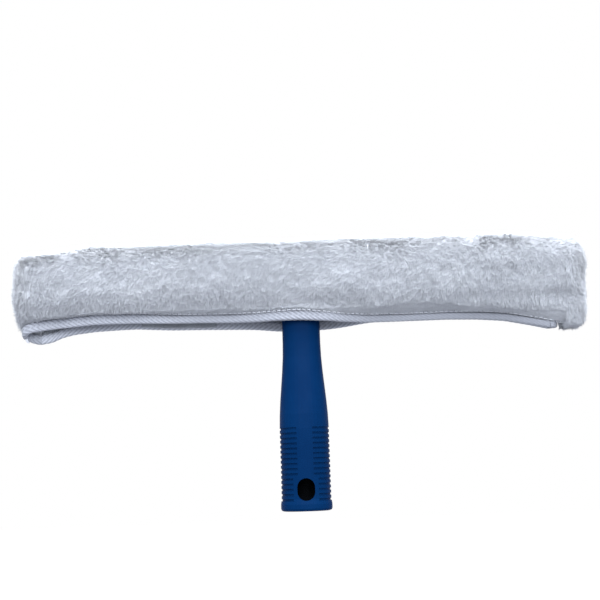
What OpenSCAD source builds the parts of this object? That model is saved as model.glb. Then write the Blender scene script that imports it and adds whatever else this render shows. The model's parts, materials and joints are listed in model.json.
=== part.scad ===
// Window scrubber: a moulded T-shaped handle with a plush washing sleeve over its crossbar.
// The origin is the centre of the pole socket's mouth. X runs along the roll, -Y is the front
// and Z runs up the handle. The sleeve draws off upward, and its two flaps turn out as it goes.

/* [Handle] */
// Height of the handle, from the mouth of the pole socket to the collar of the crossbar
handle_h = 128; // [110:1:170]
// Width of the neck where it meets the crossbar
neck_w = 23; // [18:0.5:26]
// Depth of the neck where it meets the crossbar
neck_d = 16.4; // [12:0.2:16.6]
// Width of the grip near its lower end
grip_w = 29.6; // [27:0.2:34]
// Depth of the grip near its lower end
grip_d = 27; // [25:0.2:32]
// Height at which the neck starts to widen into the grip
taper_top = 100; // [80:1:108]
// How far the lip at the lower end stands out all round
lip_out = 0.5; // [0:0.1:1.5]
// Height of the lip at the lower end
lip_h = 4; // [2:0.5:6]
// Squareness of the section, where 2 is an ellipse
section_power = 2.4; // [2:0.1:5]

/* [Pole socket] */
// Diameter of the pole socket
socket_d = 20; // [14:0.5:21]
// Depth of the pole socket
socket_depth = 55; // [30:1:60]
// Width of the catch window in the front wall
window_w = 10.4; // [5:0.2:12]
// Height of the catch window
window_h = 13; // [9:0.5:16]
// Height of the catch window's centre
window_z = 12.5; // [11:0.5:20]

/* [Grip grooves] */
// Number of grooves on each side
groove_count = 15; // [5:1:17]
// Number of the lowest grooves that stop short of the window's rim
short_count = 5; // [0:1:8]
// Distance from one groove to the next
groove_pitch = 2.97; // [2.4:0.01:3.6]
// Width of a groove
groove_w = 1.3; // [0.6:0.1:2]
// Depth of a groove
groove_depth = 0.5; // [0.3:0.1:1.4]
// Height of the lowest groove
groove_z = 6.5; // [5:0.5:9]
// Width of the smooth panel between the grooves
panel_w = 9.4; // [6:0.2:14]
// Width of the smooth rim on each side of the window
rim_w = 2.2; // [1:0.2:4]

/* [Crossbar] */
// Height of the crossbar
bar_h = 22; // [18:0.5:24]
// Thickness of the crossbar
bar_t = 16; // [14:0.5:16.5]
// Height of the collar under the bar that the neck meets
collar_h = 3; // [2:0.5:6]
// Number of water holes along each arm
hole_count = 6; // [3:1:8]
// Diameter of a water hole
hole_d = 7; // [4:0.5:10]
// Depth of the bevel round each mouth of a water hole
hole_bevel = 0.8; // [0.2:0.1:1.5]
// Length of the hub in the middle of the crossbar, which has no holes
hub_l = 34; // [28:1:50]

/* [Tenon and screws] */
// Width of the handle's tenon inside the hub
tenon_w = 16; // [14:0.5:18]
// Depth of the tenon
tenon_d = 9; // [7:0.5:10]
// Height of the tenon
tenon_h = 13; // [8:0.5:15]
// Clearance between the tenon and its mortise
tenon_gap = 0.15; // [0.1:0.05:0.4]
// Distance between the two screws
screw_pitch = 8; // [7.6:0.2:9]
// Diameter of a screw's shank
screw_d = 3.6; // [2.5:0.1:4]
// Diameter of a screw's head
head_d = 7; // [5:0.2:7.4]
// Height of a screw's head
head_h = 2.4; // [1.6:0.1:3]
// Length of a screw below its head
screw_l = 13; // [8:0.5:14]

/* [Sleeve] */
// Length of the sleeve over the pile
sleeve_l = 350; // [280:1:380]
// Thickness of the closed end at each side of the roll
end_t = 15.5; // [13:0.5:22]
// Depth of the sleeve over the pile
sleeve_d = 46; // [42:0.5:54]
// Thickness of pile and backing above the crossbar
pile_top = 10.6; // [7:0.2:16]
// Clearance between the crossbar and the backing round it
pocket_gap = 0.4; // [0.2:0.1:1]
// How far the roll's widest level lies below its top
belly_drop = 21.5; // [18:0.5:26]
// Height of the roll from its widest level to where its underside would close
belly_h = 24; // [22:0.5:30]
// Squareness of the roll's underside
belly_power = 2.9; // [2:0.1:4]
// Squareness of the roll's top
crown_power = 2.3; // [2:0.1:4]
// How far the roll's top sinks toward its ends
end_sink = 3; // [0:0.5:6]
// Height of the soft waves along the roll
wave_h = 0.2; // [0:0.1:1.5]

/* [Slit and flaps] */
// How far the slit runs past each end of the crossbar
slit_past = 1.5; // [0.5:0.1:4]
// How far the flaps' fold line lies below the crossbar
fold_drop = 8.5; // [6:0.5:12]
// How far the binding's lower edge lies below the crossbar
flap_drop = 18.5; // [16:0.5:24]
// How far the slit hangs lower at its ends
end_droop = 7; // [0:0.5:9]
// Length over which the slit droops at its left end
droop_left = 30; // [20:1:60]
// Length over which the slit droops at its right end
droop_right = 50; // [20:1:60]
// Width of the slit to the left of the handle, where it stands open
slit_gap_left = 8; // [1.6:0.2:9]
// Width of the slit to the right of the handle, where it is closed
slit_gap_right = 1.6; // [1.6:0.2:9]
// Width of the slit at its two ends
slit_gap_end = 4; // [2:0.2:6]
// Clearance between the neck and the binding round it
neck_gap = 1; // [0.6:0.1:1.4]
// Clearance between the flaps and the rest of the sleeve
fold_gap = 0.3; // [0.2:0.1:0.6]

/* [Binding and closure] */
// Height of the binding tape
tape_h = 5.8; // [4:0.2:8]
// Thickness of the folded binding tape
tape_t = 3.4; // [2.8:0.1:4]
// Thickness of the fabric edge inside the binding
edge_t = 1.2; // [0.6:0.1:1.4]
// Length of a hook or loop strip
strip_l = 46; // [20:1:60]
// Height of a hook or loop strip
strip_h = 4.4; // [3:0.2:5]
// Distance from the handle's centre to the near end of a strip
strip_x = 52; // [48:1:70]
// Width of the sewn bar tack across each end of the slit
tack_w = 1.8; // [1:0.1:3]

/* [Hidden] */

blue = [0.04, 0.17, 0.38];
white = [0.86, 0.88, 0.93];
tape_white = [0.74, 0.77, 0.84];
steel = [0.72, 0.73, 0.75];
// A cut runs this far past the face that it opens
past = 1;

// Heights that follow from the handle and the crossbar
bar_low = handle_h + collar_h;
bar_mid = bar_low + bar_h / 2;
bar_top = bar_low + bar_h;
roll_top = bar_top + pocket_gap + pile_top;
belly_z = roll_top - belly_drop;
fold_z = bar_low - fold_drop;
tape_z = bar_low - flap_drop;

// The fold line lies on the roll's outside, where the underside reaches the fold's height
function under_turn(z) = asin(pow((belly_z - z) / belly_h, belly_power / 2));
fold_turn = under_turn(fold_z);
fold_y = sleeve_d / 2 * pow(cos(fold_turn), 2 / belly_power);
pocket_r = bar_t / 2 + pocket_gap;
inner_z = fold_z + 4.3;
sleeve_half = sleeve_l / 2;
slit_half = sleeve_half - end_t;
bar_l = 2 * (slit_half - slit_past);
flap_half = slit_half - fold_gap;
turn_out = slit_gap_end / 2 + tape_t;

// Eases from 0 to 1 without a corner
function ease(t) = let (c = min(1, max(0, t))) c * c * (3 - 2 * c);
// A number raised to a power with its sign kept
function signed_pow(v, p) = sign(v) * pow(abs(v), p);

// Faces that join rings of n points into a closed solid. The points of a ring run
// anticlockwise as seen from the last ring. The cap's faces close the first and the last ring.
function loft_faces(rings, n, cap) = concat(
    cap,
    [for (r = [0:rings - 2]) for (i = [0:n - 1])
        let (a = r * n + i, b = r * n + (i + 1) % n) each [[a, b + n, b], [a, a + n, b + n]]],
    [for (face = cap) [for (i = [len(face) - 1:-1:0]) (rings - 1) * n + face[i]]]
);

// Cap of a convex ring, in one face
function whole_cap(n) = [[for (i = [0:n - 1]) i]];
// Cap of a ring that runs out along one side of a band and back along the other, in convex faces
function band_cap(n) = [
    for (i = [0:ceil(n / 2) - 2])
        let (far = n - 2 - i)
        i + 1 == far ? [i, far, far + 1] : [i, i + 1, far, far + 1]
];

// Closed solid through rings of equal point count
module loft(rings, cap) {
    polyhedron(
        points = [for (ring = rings) each ring],
        faces = loft_faces(len(rings), len(rings[0]), cap),
        convexity = 8
    );
}

// Closed outline in the YZ plane, carried along X: one list of [y, z] points for each x
module loft_along_x(stations, outlines, cap) {
    loft([for (i = [0:len(stations) - 1]) [for (p = outlines[i]) [stations[i], p[0], p[1]]]], cap);
}

// Rounded rectangle, centred
module rounded(w, h, r) {
    square([w - 2 * r, h], center = true);
    square([w, h - 2 * r], center = true);
    for (x = [-1, 1], y = [-1, 1])
        translate([x * (w / 2 - r), y * (h / 2 - r)])
            circle(r = r, $fn = 48);
}

// Turns a shape drawn for the back into the one for the front
module to_front() {
    mirror([0, 1, 0])
        children();
}

// Extrusion from front to back of an outline drawn as seen from the front
module front_to_back(depth) {
    rotate([90, 0, 0])
        linear_extrude(height = depth, center = true)
            children();
}

// Handle

section_points = 40;
bottom_round = 1.5;

// Half width and half depth of the handle at height z
function grip_blend(z) = ease((taper_top - z) / (taper_top - groove_top));
groove_top = groove_z + (groove_count - 1) * groove_pitch;
function foot_swell(z) = z < lip_h ? lip_out : lip_out * (1 - ease((z - lip_h) / 3));
function foot_round(z) = z < bottom_round
    ? bottom_round - sqrt(max(0, bottom_round * bottom_round - pow(bottom_round - z, 2))) : 0;
function half_w(z) = (neck_w + (grip_w - neck_w) * grip_blend(z)) / 2 + foot_swell(z) - foot_round(z);
function half_d(z) = (neck_d + (grip_d - neck_d) * grip_blend(z)) / 2 + foot_swell(z) - foot_round(z);

// Outline of the handle at height z, drawn in by inset
function handle_outline(z, inset) = [
    for (i = [0:section_points - 1])
        let (a = 360 * i / section_points)
        [(half_w(z) - inset) * signed_pow(cos(a), 2 / section_power),
         (half_d(z) - inset) * signed_pow(sin(a), 2 / section_power)]
];

handle_stations = concat(
    [0, 0.5, bottom_round, lip_h, lip_h + 3],
    [for (i = [0:4]) groove_z + 5 + (groove_top - groove_z - 5) * i / 4],
    [for (i = [1:6]) groove_top + (taper_top - groove_top) * i / 6],
    [handle_h]
);

// The cut for one pair of grooves: all that lies outside the drawn-in outline, beside the panel
module groove_pair(z, clear_w) {
    translate([0, 0, z - groove_w / 2])
        linear_extrude(height = groove_w)
            for (side = [-1, 1])
                difference() {
                    translate([side * (clear_w / 2 + grip_w / 2), 0])
                        square([grip_w, grip_d * 2], center = true);
                    polygon(handle_outline(z, groove_depth));
                }
}

module handle() {
    color(blue)
        difference() {
            union() {
                loft(
                    [for (z = handle_stations) [for (p = handle_outline(z, 0)) [p[0], p[1], z]]],
                    whole_cap(section_points)
                );
                translate([-tenon_w / 2, -tenon_d / 2, handle_h - past])
                    cube([tenon_w, tenon_d, tenon_h + past]);
            }
            for (i = [0:groove_count - 1])
                groove_pair(groove_z + i * groove_pitch, i < short_count ? window_w + 2 * rim_w : panel_w);
            translate([0, 0, -past])
                cylinder(d = socket_d, h = socket_depth + past, $fn = 96);
            translate([0, -grip_d / 2, window_z])
                front_to_back(grip_d)
                    rounded(window_w, window_h, window_w / 2 - 0.01);
            for (side = [-1, 1])
                translate([side * screw_pitch / 2, 0, screw_seat - screw_l - past])
                    cylinder(d = screw_d + 0.1, h = screw_l + 2 * past, $fn = 48);
        }
}

// Crossbar

arm_l = (bar_l - hub_l) / 2;
hole_pitch = arm_l / (hole_count + 0.5);
screw_seat = bar_top - head_h - 1;

// Outline of the bar across its length, with full round edges
module bar_section() {
    square([bar_t, bar_h - bar_t], center = true);
    for (side = [-1, 1])
        translate([0, side * (bar_h - bar_t) / 2])
            circle(d = bar_t, $fn = 96);
}

// Hole through the bar from front to back with a bevel at each mouth
module water_hole() {
    rotate([90, 0, 0])
        cylinder(d = hole_d, h = bar_t + 2 * past, center = true, $fn = 48);
    for (face = [-1, 1])
        rotate([face * 90, 0, 0])
            translate([0, 0, bar_t / 2 - hole_bevel])
                cylinder(d1 = hole_d, d2 = hole_d + 4 * hole_bevel, h = 2 * hole_bevel, $fn = 48);
}

module crossbar() {
    color(blue)
        difference() {
            union() {
                intersection() {
                    translate([0, 0, bar_mid])
                        rotate([90, 0, 90])
                            linear_extrude(height = bar_l, center = true)
                                bar_section();
                    translate([0, 0, bar_mid])
                        front_to_back(bar_t + 2 * past)
                            rounded(bar_l, bar_h, bar_h / 2 - 0.01);
                }
                translate([0, 0, handle_h])
                    linear_extrude(height = collar_h + bar_h / 2)
                        rounded(neck_w + 3, bar_t - 0.2, 5);
            }
            for (arm = [-1, 1], i = [0:hole_count - 1])
                translate([arm * (hub_l / 2 + hole_pitch * (i + 0.5)), 0, bar_mid])
                    water_hole();
            translate([-tenon_w / 2 - tenon_gap, -tenon_d / 2 - tenon_gap, handle_h - past])
                cube([tenon_w + 2 * tenon_gap, tenon_d + 2 * tenon_gap, tenon_h + tenon_gap + past]);
            for (side = [-1, 1])
                translate([side * screw_pitch / 2, 0, handle_h + tenon_h]) {
                    cylinder(d = screw_d + 0.1, h = bar_top, $fn = 48);
                    translate([0, 0, screw_seat - handle_h - tenon_h])
                        cylinder(d = head_d + 0.4, h = bar_h, $fn = 48);
                }
        }
}

// Pan head screw with a cross recess and a plain shank that ends in a short point
module screw() {
    point_h = screw_d;
    difference() {
        union() {
            cylinder(d = head_d, h = head_h * 0.6, $fn = 48);
            translate([0, 0, head_h * 0.6])
                cylinder(d1 = head_d, d2 = head_d * 0.7, h = head_h * 0.4, $fn = 48);
        }
        for (turn = [0, 90])
            rotate([0, 0, turn])
                translate([-head_d * 0.3, -0.45, head_h * 0.4])
                    cube([head_d * 0.6, 0.9, head_h]);
    }
    translate([0, 0, point_h - screw_l])
        cylinder(d = screw_d, h = screw_l - point_h, $fn = 48);
    translate([0, 0, -screw_l])
        cylinder(d1 = 0.6, d2 = screw_d, h = point_h, $fn = 48);
}

module crossbar_screws() {
    color(steel)
        for (side = [-1, 1])
            translate([side * screw_pitch / 2, 0, screw_seat])
                screw();
}

// Sleeve outlines, given for the back half: y is the distance from the middle plane

outer_steps = 9;

// Gentle swell of the pile along the roll, different at each level
function wave(x, level) = wave_h * (sin(x * 5.1 + level * 70) + 0.7 * sin(x * 11.3 - level * 110));
// How far the roll's top has sunk at x
function top_sink(x) = end_sink * ease((abs(x) - sleeve_half * 0.72) / (sleeve_half * 0.24));

// Point on the roll's outside at x, the turn a up from the widest level, on the back for side = 1
// and on the front for side = -1. The swell fades out toward low_turn, where the outline ends.
function roll_point(x, a, side, low_turn) =
    let (
        up = a >= 0,
        power = up ? crown_power : belly_power,
        rise = up ? belly_drop - top_sink(x) : belly_h,
        swell = wave(x, a / 90) * (1 - pow((90 - a) / (90 + low_turn), 4))
    )
    [side * (sleeve_d / 2 + swell) * pow(abs(cos(a)), 2 / power),
     belly_z + (rise + swell * 0.6) * signed_pow(sin(a), 2 / power)];

// Outer points of the roll at x, from the back over the top to the front
function roll_outline(x, low_turn) = [
    for (i = [-outer_steps:outer_steps])
        roll_point(x, 90 - (90 + low_turn) * abs(i) / outer_steps, i < 0 ? 1 : -1, low_turn)
];

// Backing side points round the crossbar, from the front over the top to the back. There are as
// many as on the outside.
pocket_steps = 2 * outer_steps - 4;
pocket_outline = concat(
    [[-bar_t / 2 - 1.4, inner_z + fold_gap]],
    [[-pocket_r, inner_z + 3]],
    [for (i = [0:pocket_steps])
        let (a = 180 - 180 * i / pocket_steps, r = pocket_r / cos(90 / pocket_steps))
        [r * cos(a), bar_top - bar_t / 2 + r * sin(a)]],
    [[pocket_r, inner_z + 3]],
    [[bar_t / 2 + 1.4, inner_z + fold_gap]]
);

cover_stations = [for (i = [-14:14]) slit_half * i / 14];
cover_turn = under_turn(fold_z + fold_gap);

module plush_cover() {
    color(white)
        loft_along_x(
            cover_stations,
            [for (x = cover_stations) concat(roll_outline(x, cover_turn), pocket_outline)],
            band_cap(2 * (2 * outer_steps + 1))
        );
}

// End panel: the closed end of the roll, drawn in toward its outer face, with a tab that hangs
// as low as the binding outside the binding's turn
end_middle = belly_z - 6;
tab_start = turn_out + 0.4;
tab_z = tape_z - end_droop;
turn_top = tab_z + tape_h;
tab_steps = [[0, 1, 0], [tab_start, 0.985, 0], [tab_start + 0.2, 0.985, 1], [end_t * 0.55, 0.965, 1],
    [end_t * 0.74, 0.925, 1], [end_t * 0.9, 0.85, 1], [end_t, 0.72, 1]];

// The part of the end's outline under the fold line, from the middle to side = 1 or side = -1
function end_underside(low, side) = let (z = low > 0 ? tab_z + 0.2 : turn_top + 0.3) [
    [side * (turn_out - 2), z],
    [side * (turn_out + 0.5), z + 1.2],
    [side * (turn_out + 4.5), z + 5]
];

// Outline of the end at x, from the bottom up the back, over the top and down the front
function end_outline(x, low) =
    let (front = end_underside(low, -1))
    concat(end_underside(low, 1), roll_outline(x, fold_turn), [front[2], front[1], front[0]]);

module end_panel() {
    outlines = [
        for (s = tab_steps)
            [for (p = end_outline(slit_half + s[0], s[2]))
                [p[0] * s[1], end_middle + (p[1] - end_middle) * s[1]]]
    ];
    loft_along_x([for (s = tab_steps) slit_half + s[0]], outlines, band_cap(len(outlines[0])));
}

module left_end_panel() {
    color(white)
        mirror([1, 0, 0])
            end_panel();
}

module right_end_panel() {
    color(white)
        end_panel();
}

// The binding where it turns round the end of the slit
module binding_turn() {
    translate([slit_half, 0, tab_z])
        rotate([0, 0, -90])
            rotate_extrude(angle = 180, $fn = 64)
                translate([slit_gap_end / 2, 0])
                    polygon([[0, 0.8], [0.8, 0], [tape_t - 0.8, 0], [tape_t, 0.8], [tape_t, tape_h], [0, tape_h]]);
}

module left_binding_turn() {
    color(tape_white)
        mirror([1, 0, 0])
            binding_turn();
}

module right_binding_turn() {
    color(tape_white)
        binding_turn();
}

// Bar tack: a dense row of thread across the end of the slit, under the binding
module bar_tack() {
    translate([slit_half + slit_gap_end / 2 + tape_t / 2, 0, tab_z])
        rotate([180, 0, 0])
            linear_extrude(height = 0.5)
                rounded(tack_w, 2 * slit_gap_end, tack_w / 2 - 0.01);
}

module left_bar_tack() {
    color(tape_white)
        mirror([1, 0, 0])
            bar_tack();
}

module right_bar_tack() {
    color(tape_white)
        bar_tack();
}

// Flaps

// Half width of the slit at x: wide at the neck, then as the photo's left and right sides
function side_gap(x) = (x < 0 ? slit_gap_left : slit_gap_right) / 2;
neck_half_gap = neck_d / 2 + neck_gap;
function near_neck(x) = 1 - ease((abs(x) - neck_w / 2 - 2) / 32);
function near_end(x) = ease((abs(x) - slit_half + 40) / 38);
function slit_gap(x) =
    let (open = side_gap(x) + (neck_half_gap - side_gap(x)) * near_neck(x))
    open + (slit_gap_end / 2 - open) * near_end(x);
// Height of the binding's lower edge at x
function droop_run(x) = x < 0 ? droop_left : droop_right;
function edge_z(x) = tape_z - end_droop * ease(1 - (slit_half - abs(x)) / droop_run(x));

flap_stations = [for (i = [-22:22]) flap_half * i / 22];

// Flap outline at x for the back side: fold line, outer face, fabric edge, inner face
function flap_outline(x) =
    let (
        g = slit_gap(x),
        top = edge_z(x) + tape_h,
        edge_in = g + (tape_t - edge_t) / 2,
        swell = wave(x, 3)
    )
    [
        [fold_y, fold_z],
        [bar_t / 2 + 1.4 + 0.6 * near_neck(x), inner_z - 0.8 * near_neck(x)],
        [edge_in + 0.1, top + 0.6],
        [edge_in, edge_z(x) + 1.3],
        [edge_in + edge_t, edge_z(x) + 1.3],
        [edge_in + edge_t, top + 0.2],
        [g + tape_t + 1.6, top + 0.3],
        [max((fold_y + g + tape_t) / 2 + 0.6, g + tape_t + 1.8), (fold_z + top) / 2 - 1.1 + swell]
    ];

// Binding outline at x for the back side: a folded tape round the fabric edge
function tape_outline(x) =
    let (
        g = slit_gap(x),
        low = edge_z(x),
        slot = (tape_t - edge_t) / 2 - 0.1
    )
    [
        [g, low + tape_h - 0.3],
        [g, low + 0.8],
        [g + 0.8, low],
        [g + tape_t - 0.8, low],
        [g + tape_t, low + 0.8],
        [g + tape_t, low + tape_h - 0.3],
        [g + tape_t - slot, low + tape_h],
        [g + tape_t - slot, low + 1.2],
        [g + slot, low + 1.2],
        [g + slot, low + tape_h]
    ];

module flap() {
    loft_along_x(flap_stations, [for (x = flap_stations) flap_outline(x)], band_cap(8));
}

module binding() {
    loft_along_x(
        flap_stations,
        [for (x = flap_stations) tape_outline(x)],
        [[0, 1, 8, 9], [1, 2, 3, 4, 7, 8], [4, 5, 6, 7]]
    );
}

// Hook or loop strip on the inner face of the binding, from x = from to x = to
strip_t = slit_gap_right / 2 - 0.05;
strip_rise = (tape_h - strip_h) / 2;
module strip(from) {
    stations = [for (i = [0:4]) from + strip_l * i / 4];
    loft_along_x(
        stations,
        [for (x = stations)
            let (g = slit_gap(x), low = edge_z(x) + 0.2 + strip_rise)
            [[g - strip_t, low], [g, low], [g, low + strip_h], [g - strip_t, low + strip_h]]],
        whole_cap(4)
    );
}

module front_flap() {
    color(white)
        to_front()
            flap();
}

module front_binding() {
    color(tape_white)
        to_front()
            binding();
}

module left_hook_strip() {
    color(tape_white)
        to_front()
            strip(-strip_x - strip_l);
}

module right_hook_strip() {
    color(tape_white)
        to_front()
            strip(strip_x);
}

module back_flap() {
    color(white)
        flap();
}

module back_binding() {
    color(tape_white)
        binding();
}

module left_loop_strip() {
    color(tape_white)
        strip(-strip_x - strip_l);
}

module right_loop_strip() {
    color(tape_white)
        strip(strip_x);
}

handle();
crossbar();
crossbar_screws();
plush_cover();
left_end_panel();
right_end_panel();
left_binding_turn();
right_binding_turn();
left_bar_tack();
right_bar_tack();
front_flap();
front_binding();
left_hook_strip();
right_hook_strip();
back_flap();
back_binding();
left_loop_strip();
right_loop_strip();
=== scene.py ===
# %% [markdown]
# # A window scrubber, dressed for its picture
# The tool is a moulded blue T-handle with a white plush sleeve over its crossbar. The frame
# already holds every rigid piece at its true place, so this script keeps those pieces and
# gives them a finish. The soft pieces are made again here, as cloth with a pile: a block of
# plastic can be shown by its outline alone, but fleece is read by its tufts, its edge and its
# shade. All lengths are metres in the frame, and `MM` turns a size in millimetres into them.

# %% Load the frame and keep its box
import json
import math

import bmesh
import bpy
import numpy as np
from mathutils import Matrix, Vector


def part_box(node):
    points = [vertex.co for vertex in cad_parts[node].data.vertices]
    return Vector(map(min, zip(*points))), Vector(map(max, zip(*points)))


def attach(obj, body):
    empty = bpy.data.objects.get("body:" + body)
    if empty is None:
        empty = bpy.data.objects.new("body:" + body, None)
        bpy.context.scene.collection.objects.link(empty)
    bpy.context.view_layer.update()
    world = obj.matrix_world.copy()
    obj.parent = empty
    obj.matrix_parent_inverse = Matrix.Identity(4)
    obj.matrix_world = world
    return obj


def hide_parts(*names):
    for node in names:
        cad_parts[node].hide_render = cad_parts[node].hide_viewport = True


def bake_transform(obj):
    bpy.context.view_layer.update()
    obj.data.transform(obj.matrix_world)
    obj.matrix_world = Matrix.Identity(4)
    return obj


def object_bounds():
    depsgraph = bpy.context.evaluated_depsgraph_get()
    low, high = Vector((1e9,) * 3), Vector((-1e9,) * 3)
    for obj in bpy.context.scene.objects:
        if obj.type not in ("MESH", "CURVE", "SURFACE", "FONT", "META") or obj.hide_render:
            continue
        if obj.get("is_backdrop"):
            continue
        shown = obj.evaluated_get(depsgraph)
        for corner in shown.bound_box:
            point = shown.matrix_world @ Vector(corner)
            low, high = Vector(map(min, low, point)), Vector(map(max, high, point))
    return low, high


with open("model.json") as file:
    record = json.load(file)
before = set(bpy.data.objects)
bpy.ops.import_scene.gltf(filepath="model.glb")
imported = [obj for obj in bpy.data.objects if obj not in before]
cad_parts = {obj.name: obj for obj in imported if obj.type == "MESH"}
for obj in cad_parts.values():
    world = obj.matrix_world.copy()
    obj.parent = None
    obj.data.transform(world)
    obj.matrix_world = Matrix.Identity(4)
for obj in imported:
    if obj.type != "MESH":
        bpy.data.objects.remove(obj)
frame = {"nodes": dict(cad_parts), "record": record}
cad_low, cad_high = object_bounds()
MM = 0.001
print("frame nodes:", len(frame["nodes"]))

# %% [markdown]
# ## Three small helpers
# Blender keeps a material, a world or a Geometry Nodes tree as nodes with wires between their
# sockets. One helper adds a node and one fills its inputs: an input that is given another
# node's output is wired to it, and one that is given a value keeps the value. It is shorter
# than a line for every wire, and each node reads as one thing. The third makes an object and
# puts it in the scene.

# %% Helpers for nodes and objects


def set_inputs(tree, node, inputs):
    """Each input takes a value, or the output socket of another node."""
    for key, value in inputs.items():
        if isinstance(value, bpy.types.NodeSocket):
            tree.links.new(value, node.inputs[key])
        else:
            node.inputs[key].default_value = value
    return node


def add_node(tree, kind, inputs=None, **settings):
    """Settings come first, because they decide which inputs a node has."""
    node = tree.nodes.new(kind)
    for key, value in settings.items():
        setattr(node, key, value)
    return set_inputs(tree, node, inputs or {})


def add_object(name, data):
    made = bpy.data.objects.new(name, data)
    bpy.context.collection.objects.link(made)
    return made


print("node helpers ready")

# %% [markdown]
# ## The camera
# The picture was taken from a little below the sleeve, looking up at it, with the tool held
# slightly out of level. A camera is placed from four plain values: how high it looks from, how
# far away it is, how wide it sees and how much it is rolled. Setting them first means that
# each piece made later is judged in the frame that counts.

# %% Camera
CAMERA_ELEVATION = math.radians(-10)
CAMERA_ROLL = math.radians(1.9)
CAMERA_DISTANCE = 600 * MM
CAMERA_WIDTH_ANGLE = math.radians(34.25)
CAMERA_TARGET = Vector((0, 0, 127 * MM))


def place_camera():
    """Puts the camera on its sphere round the target, rolled about its own line of sight."""
    back = Vector((0, -math.cos(CAMERA_ELEVATION), math.sin(CAMERA_ELEVATION)))
    level_right = Vector((1, 0, 0))
    level_up = back.cross(level_right)
    right = level_right * math.cos(CAMERA_ROLL) - level_up * math.sin(CAMERA_ROLL)
    up = level_right * math.sin(CAMERA_ROLL) + level_up * math.cos(CAMERA_ROLL)
    data = bpy.data.cameras.new("camera")
    data.angle = CAMERA_WIDTH_ANGLE
    data.clip_start = 0.01
    camera = add_object("camera", data)
    turn = Matrix((right, up, back)).transposed().to_4x4()
    camera.matrix_world = Matrix.Translation(CAMERA_TARGET + back * CAMERA_DISTANCE) @ turn
    bpy.context.scene.camera = camera
    return camera


camera = place_camera()
bpy.context.scene.view_settings.view_transform = "Standard"
print("camera at", [round(v, 3) for v in camera.matrix_world.translation])

# %% [markdown]
# ## Floor, world and lamps
# White plush on white paper only shows by its shade, so the light must be soft but not even:
# one wide lamp above, one high in front, a weaker one behind that lights the roll's upper edge,
# and a pale world that fills the shadows. The floor is a mid grey for the light that it throws
# back, so that undersides stay in shade. The background is white because the world and the
# floor glow where the camera sees them, and not because the object is lit harder.

# %% Stage and light
FLOOR_Z = -150 * MM
FLOOR_COLOUR = (0.20, 0.20, 0.21, 1)
FLOOR_HALF = 3.0
FLOOR_GLOW_NEAR, FLOOR_GLOW_FAR = 0.72, 0.95
GLOW_FROM, GLOW_TO = 0.35, 1.1
WORLD_FILL = 1.34
WORLD_TINT = (0.83, 0.895, 1.0, 1)
LAMP_TINT = (0.93, 0.96, 1.0)
LAMP_AIM = Vector((0, 0, 0.13))


def seen_rays(tree):
    """A value that is 1 for camera, glossy and see-through rays, and 0 for those that only light."""
    rays = add_node(tree, "ShaderNodeLightPath").outputs
    inputs = {0: rays["Is Camera Ray"], 1: rays["Is Glossy Ray"]}
    seen = add_node(tree, "ShaderNodeMath", inputs, operation="MAXIMUM")
    inputs = {0: seen.outputs[0], 1: rays["Is Transmission Ray"]}
    return add_node(tree, "ShaderNodeMath", inputs, operation="MAXIMUM").outputs[0]


def make_world():
    world = bpy.data.worlds.new("studio")
    world.use_nodes = True
    tree = world.node_tree
    tree.nodes.clear()
    fill = add_node(tree, "ShaderNodeBackground", {"Color": WORLD_TINT, "Strength": WORLD_FILL})
    white = add_node(tree, "ShaderNodeBackground", {"Color": (1, 1, 1, 1)})
    shades = {0: seen_rays(tree), 1: fill.outputs[0], 2: white.outputs[0]}
    mix = add_node(tree, "ShaderNodeMixShader", shades)
    add_node(tree, "ShaderNodeOutputWorld", {"Surface": mix.outputs[0]})
    bpy.context.scene.world = world


def make_floor():
    mesh = bpy.data.meshes.new("floor")
    corners = [(FLOOR_HALF * x, FLOOR_HALF * y, FLOOR_Z) for x, y in ((-1, -1), (1, -1), (1, 1), (-1, 1))]
    mesh.from_pydata(corners, [], [(0, 1, 2, 3)])
    floor = add_object("floor", mesh)
    paper = bpy.data.materials.new("floor_paper")
    paper.use_nodes = True
    tree = paper.node_tree
    place = add_node(tree, "ShaderNodeTexCoord").outputs["Object"]
    reach = add_node(tree, "ShaderNodeVectorMath", {0: place}, operation="LENGTH")
    glow = add_node(tree, "ShaderNodeMapRange", {
        "Value": reach.outputs["Value"],
        "From Min": GLOW_FROM,
        "From Max": GLOW_TO,
        "To Min": FLOOR_GLOW_NEAR,
        "To Max": FLOOR_GLOW_FAR,
    })
    inputs = {0: seen_rays(tree), 1: glow.outputs["Result"]}
    lift = add_node(tree, "ShaderNodeMath", inputs, operation="MULTIPLY")
    set_inputs(tree, tree.nodes["Principled BSDF"], {
        "Base Color": FLOOR_COLOUR,
        "Roughness": 0.9,
        "Specular IOR Level": 0.0,
        "Emission Color": (1, 1, 1, 1),
        "Emission Strength": lift.outputs[0],
    })
    mesh.materials.append(paper)
    floor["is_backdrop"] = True


def add_lamp(name, place, size, power):
    data = bpy.data.lights.new(name, "AREA")
    data.shape = "DISK"
    data.size = size
    data.energy = power
    data.color = LAMP_TINT
    lamp = add_object(name, data)
    lamp.location = place
    lamp.rotation_euler = (LAMP_AIM - Vector(place)).to_track_quat("-Z", "Y").to_euler()


make_world()
make_floor()
add_lamp("sky_lamp", (-0.05, -0.32, 1.3), 1.1, 34)
add_lamp("back_lamp", (-0.1, 1.2, 0.95), 0.9, 17)
add_lamp("front_lamp", (0.1, -1.5, 0.75), 1.2, 20)

# %% [markdown]
# ## Sizes that all soft pieces share
# The sleeve is a roll of plush with a slit under it. Its outline across the roll is one rule:
# a soft square crown, a belly, an underside that turns in to the fold of each flap, and a
# flap that ends in its binding. The frame gives the places, and a few named sizes give the
# thickness of the cloth and the depth of the pile. Soft shapes are worked out in millimetres,
# on the front side or the back side alike, and become metres when a mesh is made.

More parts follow.
